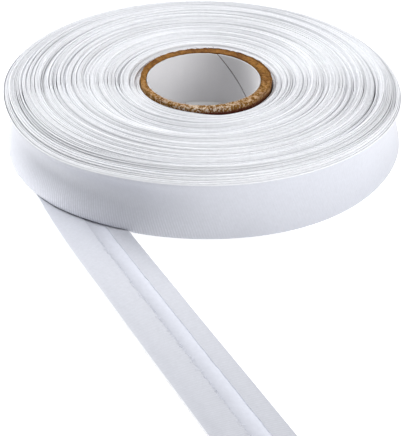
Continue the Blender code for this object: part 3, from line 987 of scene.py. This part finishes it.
def kraft_finish(name, colours, lightness):
    """Brown board: redder at the back, pale fibres at the front, dark patches and a dark outer skin."""
    finish = Finish(name, 0.95, 0.0, 0.1)
    cut = finish.read("cut")
    front = finish.read("front")
    mottle = finish.noise("kraft mottle")
    fleck = finish.noise("kraft fleck")
    grain = mottle * 0.6 + fleck * 0.4
    kraft = tuple(colours.kraft)
    dark = colour4(colours.kraft_rim)
    stops = [(place, tuple(part * share for part in kraft)) for place, share in KRAFT_STOPS]
    brown = finish.node("ShaderNodeValToRGB", {"stops": stops}, {"Fac": grain})
    brown = finish.mix(((1.0 - front) * 1.4 - 0.5).clamped() * 0.45, brown, colour4(colours.kraft_back))
    height = finish.node("ShaderNodeSeparateXYZ", inputs={"Vector": finish.place}).part("Z")
    below = (((BOARD_HIGH.z - SKIN_TOP) - height) / MM + grain).clamped()
    rim = ((cut - 0.9) * 12.0).clamped() * below * (front * 0.9 + 0.1)
    skin = ((cut - 0.88) * 8.0 + (grain - 0.5) * 2.0).clamped() * (0.6 - front * 0.5)
    blush = ((finish.noise("kraft blush") - 0.5) * 6.0).clamped() * 0.45
    for share in (rim, skin, blush):
        brown = finish.mix(share, brown, dark)
    pale = ((fleck * 0.6 + mottle * 0.4 - 0.48) * 12.0).clamped() * (front.maths("POWER", 4.0) * 0.95)
    brown = finish.mix(pale * (1.0 - rim), brown, colour4(colours.fibre))
    border = ((cut - 0.5).maths("ABSOLUTE") * 2.0).maths("POWER", 4.0)
    finish.paint(brown, (1.0 - border * (0.35 - front * 0.25)) * lightness)
    return finish.raise_surface(mottle + fleck * 0.5, 0.8, 0.2 * MM)


def paper_finish(colours):
    """White paper of the core's liner, faintly clouded."""
    finish = Finish("liner_paper", 0.7)
    cloud = finish.noise("paper cloud")
    grain = finish.noise("paper grain")
    finish.paint(tuple(colours.paper), cloud * 0.10 + grain * 0.05 + 0.92)
    return finish.raise_surface(grain, 0.3, 0.03 * MM)


class BIASTAPE_OT_wound_turns(bpy.types.Operator):
    """Wind the turns of tape on the core"""
    bl_idname = "biastape.wound_turns"
    bl_label = "Wind the turns"

    def execute(self, context):
        sizes = context.scene.tape_roll
        colours = context.scene.tape_colours
        spiral, ring = wound_paths(sizes, context.scene.tape_end)
        tree = tape_on_edge_tree()
        edge = edge_finish(colours)
        satin = satin_finish("right_side_round", colours, ribs_round)
        total = len(spiral["x"])
        half = (sizes.turns // 2) * sizes.steps
        near = total - 1 - sizes.near_turns * sizes.steps
        stretches = (
            ("inner_turns", spiral, 0, half + 1, PLAIN_OUTLINE, edge),
            ("outer_turns", spiral, half, near + 1, PLAIN_OUTLINE, edge),
            ("near_turns", spiral, near, total, NEAR_OUTLINE, edge),
            ("outermost_turn", ring, 0, sizes.steps, LAST_OUTLINE, satin),
        )
        for name, path, first, last, (count, side_end), finish in stretches:
            guide = path_mesh(name, path, first, last, closed=path is ring)
            mesh = grown_mesh(name, guide, tree, {
                "Tape width": sizes.tape_width,
                "Outline points": count,
                "Side end": side_end,
                "Finish": finish,
            })
            mesh.transform(Matrix.Translation(ROLL_CENTRE))
            face_out(mesh)
            mesh.shade_smooth()
            add_piece(name, mesh, ("wound_tape",))
        return {"FINISHED"}


# Rows of points across the loose end's outer flap, inner flap, lower layer and each turned edge
OUTER_ROWS = 16
INNER_ROWS = 14
MIDDLE_ROWS = 25
FOLD_ROWS = 8

# Step along the loose end, and where its raw edges come free of the roll and over what run in millimetres
LOOSE_STEP = 1.2 * MM
FREE_START = 45.0
FREE_RUN = 20.0

# The raw edges' wave up and ripple aside, and the whole cloth's drift aside: run to a turning point, and size
WAVE_RUN, WAVE_RISE = 9.0, 0.03
RIPPLE_RUN, RIPPLE_REACH = 2.2, 0.08
DRIFT_RUN, DRIFT_REACH = 30.0, 0.12

# Width beside a folded edge that shows whiter, and the room between a flap at rest and the lower layer
FOLD_NEAR = 0.8 * MM
FLAP_REST = 0.02 * MM


def loose_line(sizes, along):
    """Middle of the loose end and its direction across, at distances along its line."""
    line = np.array((math.cos(sizes.heading), math.sin(sizes.heading)))
    across = np.array((-line[1], line[0]))
    short = np.maximum(sizes.bend_end - along, 0.0)
    inward = sizes.bend_shift * (short / sizes.bend_length) ** 2
    slope = -2.0 * sizes.bend_shift * short / sizes.bend_length ** 2
    middle = np.outer(along, line) - np.outer(sizes.offset - inward, across)
    heading = line + np.outer(slope, across)
    heading /= np.linalg.norm(heading, axis=1)[:, None]
    return middle, np.stack((-heading[:, 1], heading[:, 0]), axis=1)


def loose_section(sizes):
    """The loose end's folded section, raw edge to raw edge: place across, height, and nearness to a fold."""
    bend = sizes.fold_height / 2
    fold = sizes.width / 2 - bend
    low = sizes.layer / 2
    crest = low + 2 * bend
    rest = 1.5 * sizes.layer + FLAP_REST

    def flap(width, count, side):
        away = (width - bend) * np.linspace(0.0, 1.0, count)
        down = ease(away / sizes.fold_slope)
        near = 1.0 - ease(away / FOLD_NEAR)
        return [(side * (fold - step), crest + (rest - crest) * part, close)
                for step, part, close in zip(away, down, near)]

    def turn_over(side):
        return [(side * (fold + bend * math.sin(angle)), low + bend + bend * math.cos(angle), 1.0)
                for angle in np.linspace(0.0, math.pi, FOLD_ROWS)[1:-1]]

    rows = flap(sizes.outer_flap, OUTER_ROWS, -1.0)[::-1]
    rows += turn_over(-1.0)
    rows += [(place, low, 0.0) for place in np.linspace(-fold, fold, MIDDLE_ROWS)]
    rows += turn_over(1.0)[::-1]
    rows += flap(sizes.inner_flap, INNER_ROWS, 1.0)
    return np.array(rows)


class BIASTAPE_OT_loose_end(bpy.types.Operator):
    """Lay the folded loose end on the table"""
    bl_idname = "biastape.loose_end"
    bl_label = "Lay the loose end"

    def execute(self, context):
        sizes = context.scene.tape_end
        colours = context.scene.tape_colours
        along = np.append(np.arange(sizes.start, sizes.end - LOOSE_STEP / 4, LOOSE_STEP), sizes.end)
        middle, across = loose_line(sizes, along)
        section = loose_section(sizes)
        steps = along / MM
        count = len(section)
        offset = np.repeat(section[None, :, 0], len(along), axis=0)
        height = np.repeat(section[None, :, 1], len(along), axis=0)
        past_roll = ease((steps - FREE_START) / FREE_RUN)
        outer = slice(0, OUTER_ROWS), np.linspace(1.0, 0.0, OUTER_ROWS), 0
        inner = slice(count - INNER_ROWS, count), np.linspace(0.0, 1.0, INNER_ROWS), 20
        for columns, raw, seed in (outer, inner):
            wave = wander(steps / WAVE_RUN, sizes.seed + seed) * 0.5 + 0.5
            ripple = wander(steps / RIPPLE_RUN, sizes.seed + seed + 1)
            height[:, columns] += (wave * WAVE_RISE * past_roll)[:, None] * raw[None, :] ** 1.5 * MM
            offset[:, columns] += (ripple * RIPPLE_REACH * MM)[:, None] * raw[None, :] ** 3
        offset += wander(steps / DRIFT_RUN, sizes.seed + 40)[:, None] * DRIFT_REACH * MM
        points = np.zeros((len(along), count, 3))
        for axis in (0, 1):
            points[:, :, axis] = middle[:, None, axis] + across[:, None, axis] * offset
        points[:, :, 2] = height
        points += np.array(ROLL_CENTRE)
        faces = quads(len(along) - 1, count - 1, count, 1)
        mesh = new_mesh("loose_end_cloth", points.reshape(-1, 3), faces=faces)
        mesh.materials.append(satin_finish("right_side_loose", colours, ribs_along))
        mesh.materials.append(wrong_side_finish(colours))
        # Painted shade across the wrong side's stripe: none at the inner flap's raw edge, full at the outer
        # flap's raw edge and beyond
        bare = (sizes.outer_flap - sizes.width / 2, sizes.width / 2 - sizes.inner_flap)
        dimness = np.interp(section[:, 0], bare, (1.0, 0.0))
        lengths = np.cumsum(np.append(0.0, np.linalg.norm(np.diff(section[:, :2], axis=0), axis=1)))
        keep_values(mesh, {
            "along": np.repeat(steps, count),
            "across": np.tile(lengths / MM, len(along)),
            "tall": np.tile(section[:, 2], len(along)),
            "dimness": np.tile(dimness, len(along)),
        })
        piece = add_piece("loose_end_cloth", mesh, ("loose_end",))
        wall = piece.modifiers.new("Cloth", "SOLIDIFY")
        wall.thickness = sizes.layer
        wall.offset = 0.0
        wall.material_offset = 1
        wall.material_offset_rim = 1
        mesh.shade_smooth()
        solid = shaped_mesh(piece)
        solid.set_sharp_from_angle(angle=math.radians(40.0))
        piece.modifiers.clear()
        piece.data = solid
        return {"FINISHED"}


# The raw edge's loose threads: start past the roll, stop short of the cut end, points, radius and scatter
FRAY_START = 46.0 * MM
FRAY_SHORT = 1.0 * MM
FRAY_POINTS = 90
FRAY_RADIUS = 0.045 * MM
FRAY_SPREAD = 0.15 * MM


class BIASTAPE_OT_raw_threads(bpy.types.Operator):
    """Fray the raw edge of the loose end"""
    bl_idname = "biastape.raw_threads"
    bl_label = "Fray the raw edge"

    def execute(self, context):
        sizes = context.scene.tape_end
        along = np.linspace(FRAY_START, sizes.end - FRAY_SHORT, FRAY_POINTS)
        middle, across = loose_line(sizes, along)
        place = middle + across * (-sizes.width / 2 + sizes.outer_flap)
        path = {
            "x": (place[:, 0] + ROLL_CENTRE.x) / MM,
            "y": (place[:, 1] + ROLL_CENTRE.y) / MM,
            "z": np.full(len(along), 2.0 * sizes.layer / MM),
        }
        finish = wrong_side_finish(context.scene.tape_colours)
        mesh = thread_mesh("raw_threads", path, sizes.threads, FRAY_RADIUS, FRAY_SPREAD, sizes.seed, finish)
        add_piece("raw_threads", mesh)
        return {"FINISHED"}


# Steps round the board tube, rows across its cut edge, and depth of the edge and its corners below the top
BOARD_STEPS = 300
CUT_ROWS = 11
CUT_LEVEL = 0.12
CORNER_LEVEL = 0.6

# Unevenness of the board's torn edge: size, and patches round the board
ROUGH_RISE, ROUGH_PATCHES = 0.14, 150
SLOW_RISE, SLOW_PATCHES = 0.12, 14
WALL_ROUGH, WALL_PATCHES = 0.08, 90
RAGGED_REACH, RAGGED_PATCHES = 0.10, 60

# Plies of the torn edge that lie at three levels in turn, and the step between them
PLY_LEVELS = 3
PLY_STEP = 0.04

# Loose fibres on the board's cut edge: name, share of the way from its outer to its inner face, and own seed
FIBRE_RINGS = (("inner", 0.92, 0), ("middle", 0.5, 7), ("outer", 0.12, 14))
FIBRE_POINTS = 121
FIBRE_LEVEL = 0.15
FIBRE_RADIUS = 0.05 * MM
FIBRE_SPREAD = 0.30 * MM
FIBRE_LIGHTNESS = 1.3


def keep_board_place(mesh, inner, outer):
    """Keep on a board piece's points how far out in the wall they are, and how far to the front."""
    places = np.empty(len(mesh.vertices) * 3, dtype=np.float32)
    mesh.vertices.foreach_get("co", places)
    x = places[0::3] - ROLL_CENTRE.x
    y = places[1::3] - ROLL_CENTRE.y
    reach = np.hypot(x - BOARD_ASIDE / 2, y)
    cut = np.clip((reach - inner) / (outer - inner), 0.0, 1.0)
    keep_values(mesh, {"cut": cut, "front": np.clip(0.5 - 0.5 * y / reach, 0.0, 1.0)})


def board_points(sizes):
    """Points of the board tube, row by row over its torn edge and round the board, in millimetres."""
    outer = BOARD_REACH / MM
    inner = sizes.board_inner / MM
    top = BOARD_HIGH.z / MM
    bearing = np.arange(BOARD_STEPS) * 360.0 / BOARD_STEPS
    rows = [(0.0, 0.0), (0.0, top * 0.5), (0.0, top - CORNER_LEVEL)]
    first_cut = len(rows)
    rows += [(share, top - CUT_LEVEL) for share in np.linspace(0.0, 1.0, CUT_ROWS)]
    inner_corner = len(rows)
    rows += [(1.0, top - CORNER_LEVEL), (1.0, top * 0.5), (1.0, 0.0)]
    share = np.array(rows)[:, 0][:, None]
    height = np.repeat(np.array(rows)[:, 1][:, None], BOARD_STEPS, axis=1)
    reach = np.repeat(outer + (inner - outer) * share, BOARD_STEPS, axis=1)
    one_row = np.zeros(BOARD_STEPS)
    ragged = RAGGED_REACH * patches(one_row, bearing, RAGGED_PATCHES, sizes.seed + 7)
    for index in range(first_cut - 1, inner_corner + 1):
        rough = patches(np.full(BOARD_STEPS, float(index)), bearing, ROUGH_PATCHES, sizes.seed + index)
        slow = patches(one_row, bearing, SLOW_PATCHES, sizes.seed + 50 + index // 4)
        height[index] += ROUGH_RISE * rough + SLOW_RISE * slow - PLY_STEP * (index % PLY_LEVELS)
        reach[index] += WALL_ROUGH * patches(one_row, bearing, WALL_PATCHES, sizes.seed + 90 + index) + ragged
    height[first_cut:inner_corner] = np.minimum(height[first_cut:inner_corner], top)
    fallen = slice(first_cut, inner_corner + 1)
    height[fallen] -= sizes.board_fall / MM * share[fallen] * (0.5 + 0.5 * np.sin(np.radians(bearing)))
    angle = np.radians(bearing)
    aside = BOARD_ASIDE / MM * (1.0 - share)
    return np.stack((reach * np.cos(angle) + aside, reach * np.sin(angle), height), axis=2)


class BIASTAPE_OT_core_board(bpy.types.Operator):
    """Make the board tube with its torn edge"""
    bl_idname = "biastape.core_board"
    bl_label = "Make the core board"

    def execute(self, context):
        sizes = context.scene.tape_core
        colours = context.scene.tape_colours
        outer = BOARD_REACH / MM
        inner = sizes.board_inner / MM
        fall = sizes.board_fall / MM
        top = BOARD_HIGH.z / MM
        points = board_points(sizes) * MM + np.array(ROLL_CENTRE)
        rows = len(points)
        faces = []
        for row in range(rows):
            here = row * BOARD_STEPS
            after = (row + 1) % rows * BOARD_STEPS
            for step in range(BOARD_STEPS):
                right = (step + 1) % BOARD_STEPS
                faces.append((here + step, after + step, after + right, here + right))
        mesh = new_mesh("core_board_tube", points.reshape(-1, 3), faces=faces)
        face_out(mesh)
        mesh.shade_smooth()
        mesh.materials.append(kraft_finish("kraft_board", colours, 1.0))
        keep_board_place(mesh, sizes.board_inner, BOARD_REACH)
        add_piece("core_board_tube", mesh, ("core_board",))
        finish = kraft_finish("kraft_fibres", colours, FIBRE_LIGHTNESS)
        ring = np.radians(np.linspace(0.0, 360.0, FIBRE_POINTS))
        for name, part, seed in FIBRE_RINGS:
            reach = outer + (inner - outer) * part
            path = {
                "x": reach * np.cos(ring) + (ROLL_CENTRE.x + BOARD_ASIDE * (1.0 - part)) / MM,
                "y": reach * np.sin(ring) + ROLL_CENTRE.y / MM,
                "z": top - FIBRE_LEVEL - fall * part * (0.5 + 0.5 * np.sin(ring)),
            }
            label = "board_fibres_" + name
            fibres = thread_mesh(
                label, path, sizes.fibres // len(FIBRE_RINGS), FIBRE_RADIUS, FIBRE_SPREAD, sizes.seed + seed,
                finish)
            keep_board_place(fibres, sizes.board_inner, BOARD_REACH)
            add_piece(label, fibres)
        return {"FINISHED"}


# Steps round the liner and up it, its edges' reach aside at the seam, how fast that ends, and its ragged cut
LINER_STEPS = 120
LINER_LEVELS = 24
LIP_REACH = 0.12 * MM
LIP_FALL = 60.0
LINER_RAGGED = 0.08 * MM


class BIASTAPE_OT_core_liner(bpy.types.Operator):
    """Line the core with white paper, butted along a slanting seam"""
    bl_idname = "biastape.core_liner"
    bl_label = "Line the core"

    def execute(self, context):
        sizes = context.scene.tape_core
        inner = LINER_REACH - sizes.liner_wall
        slit = sizes.seam_width / inner
        share = np.linspace(0.0, 1.0, LINER_STEPS + 1)
        heights = np.linspace(LINER_LOW.z, LINER_HIGH.z, LINER_LEVELS + 1)
        lip = LIP_REACH * (np.exp(-share * LIP_FALL) - 0.6 * np.exp(-(1.0 - share) * LIP_FALL))
        points = []
        for reach in (LINER_REACH, inner):
            for height in heights:
                start = sizes.seam_bearing + sizes.seam_slant * height + slit / 2
                angle = start + (math.tau - slit) * share
                ragged = LINER_RAGGED * patches(share * 0.0, np.degrees(angle), 90, sizes.seed)
                level = height + ragged * (height == heights[-1])
                spread = reach - lip
                places = (spread * np.cos(angle), spread * np.sin(angle), level + angle * 0.0)
                points.append(np.stack(places, axis=1))
        wide = LINER_STEPS + 1
        back = wide * (LINER_LEVELS + 1)
        faces = []
        for start in (0, back):
            faces += quads(LINER_LEVELS, LINER_STEPS, wide, 1, start)
        for level in (0, LINER_LEVELS):
            faces += quads(1, LINER_STEPS, back, 1, level * wide)
        for step in (0, LINER_STEPS):
            faces += quads(1, LINER_LEVELS, back, wide, step)
        mesh = new_mesh("core_liner_paper", np.concatenate(points) + np.array(ROLL_CENTRE), faces=faces)
        face_out(mesh)
        mesh.shade_smooth()
        mesh.set_sharp_from_angle(angle=math.radians(50.0))
        mesh.materials.append(paper_finish(context.scene.tape_colours))
        add_piece("core_liner_paper", mesh, ("core_liner",))
        return {"FINISHED"}


# Soft lights round the roll: bearing and elevation seen from the roll, distance and size in metres, and power
SOFTBOXES = table(
    "name bearing elevation distance size power", ("overhead", 118.0, 55.0, 1.3, 1.0, 11.3),
    ("front_right", -30.0, 24.0, 1.5, 1.1, 19.0), ("back_left", 150.0, 28.0, 1.1, 0.8, 10.0))
WORLD_LIGHT = 0.15
TABLE_GLOW = 0.48


class BIASTAPE_OT_stage(bpy.types.Operator):
    """Set the table, the soft lights and the camera"""
    bl_idname = "biastape.stage"
    bl_label = "Set the stage"

    def execute(self, context):
        scene = context.scene
        base = tuple(scene.tape_colours.floor)
        shape = bmesh.new()
        bmesh.ops.create_grid(shape, x_segments=1, y_segments=1, size=3.0)
        mesh = bpy.data.meshes.new("table")
        shape.to_mesh(mesh)
        shape.free()
        finish = Finish("pale_table", 0.9, 0.0, 0.0)
        away = finish.vector("DISTANCE", finish.place, tuple(ROLL_CENTRE), output=1)
        # Inside the core's bore the table is painted darker and glows less, a painted shade for the shade
        # down the bore
        clear_of_bore_shade = ((away - LINER_REACH) / (2.0 * MM)).clamped()
        finish.paint(base, (finish.noise("table cloud") * 0.01 + 0.995) * (clear_of_bore_shade * 0.3 + 0.7))
        finish.feed(finish.sockets["Emission Color"], finish.shade(base, clear_of_bore_shade * 0.6 + 0.4))
        finish.sockets["Emission Strength"].default_value = TABLE_GLOW
        mesh.materials.append(finish.material)
        floor = place_object("table", mesh)
        floor.location = (0.0, 0.0, -0.05 * MM)
        world = bpy.data.worlds.new("studio")
        world.use_nodes = True
        world.node_tree.nodes["Background"].inputs["Color"].default_value = (1.0, 1.0, 1.0, 1.0)
        world.node_tree.nodes["Background"].inputs["Strength"].default_value = WORLD_LIGHT
        scene.world = world
        for box in SOFTBOXES:
            light = bpy.data.lights.new(box.name, "AREA")
            light.shape = "SQUARE"
            light.size = box.size
            light.energy = box.power
            lamp = place_object(box.name, light)
            bearing, elevation = math.radians(box.bearing), math.radians(box.elevation)
            level = math.cos(elevation)
            way = Vector((math.cos(bearing) * level, math.sin(bearing) * level, math.sin(elevation)))
            lamp.location = ROLL_CENTRE + way * box.distance
            lamp.rotation_euler = way.to_track_quat("Z", "Y").to_euler()
        pitch, roll = math.radians(CAMERA_PITCH), math.radians(CAMERA_ROLL)
        forward = Vector((0.0, math.cos(pitch), -math.sin(pitch)))
        upright = Vector((0.0, math.sin(pitch), math.cos(pitch)))
        side = Vector((1.0, 0.0, 0.0))
        right = side * math.cos(roll) + upright * math.sin(roll)
        upward = upright * math.cos(roll) - side * math.sin(roll)
        lens = bpy.data.cameras.new("camera")
        lens.sensor_width = SENSOR
        lens.lens = SENSOR * FOCAL_PIXELS / PHOTO_LONG_SIDE
        camera = place_object("camera", lens)
        turn = Matrix((right, upward, -forward)).transposed().to_4x4()
        camera.matrix_world = Matrix.Translation(ROLL_CENTRE + Vector(CAMERA_PLACE)) @ turn
        scene.camera = camera
        scene.view_settings.view_transform = "Standard"
        return {"FINISHED"}


class BIASTAPE_PT_panel(bpy.types.Panel):
    """Pieces of the bias tape roll"""
    bl_idname = "BIASTAPE_PT_panel"
    bl_label = "Bias Tape Roll"
    bl_space_type = "VIEW_3D"
    bl_region_type = "UI"
    bl_category = "Bias Tape"

    def draw(self, context):
        for operator in PIECE_OPERATORS:
            self.layout.operator(operator.bl_idname)
        for settings in SETTINGS:
            group = getattr(context.scene, settings)
            for name in group.__annotations__:
                self.layout.prop(group, name)


PIECE_OPERATORS = (
    BIASTAPE_OT_stage,
    BIASTAPE_OT_wound_turns,
    BIASTAPE_OT_raw_threads,
    BIASTAPE_OT_loose_end,
    BIASTAPE_OT_core_board,
    BIASTAPE_OT_core_liner,
)
SETTINGS = {
    "tape_roll": RollSizes,
    "tape_end": LooseEndSizes,
    "tape_core": CoreSizes,
    "tape_colours": TapeColours,
}
CLASSES = (*SETTINGS.values(), *PIECE_OPERATORS, BIASTAPE_PT_panel)


def register():
    for item in CLASSES:
        bpy.utils.register_class(item)
    for name, group in SETTINGS.items():
        setattr(bpy.types.Scene, name, PointerProperty(type=group))


def unregister():
    for name in SETTINGS:
        delattr(bpy.types.Scene, name)
    for item in reversed(CLASSES):
        bpy.utils.unregister_class(item)


def main():
    register()
    bpy.ops.biastape.stage()
    bpy.ops.biastape.wound_turns()
    bpy.ops.biastape.raw_threads()
    bpy.ops.biastape.loose_end()
    bpy.ops.biastape.core_board()
    bpy.ops.biastape.core_liner()


if __name__ == "__main__":
    main()
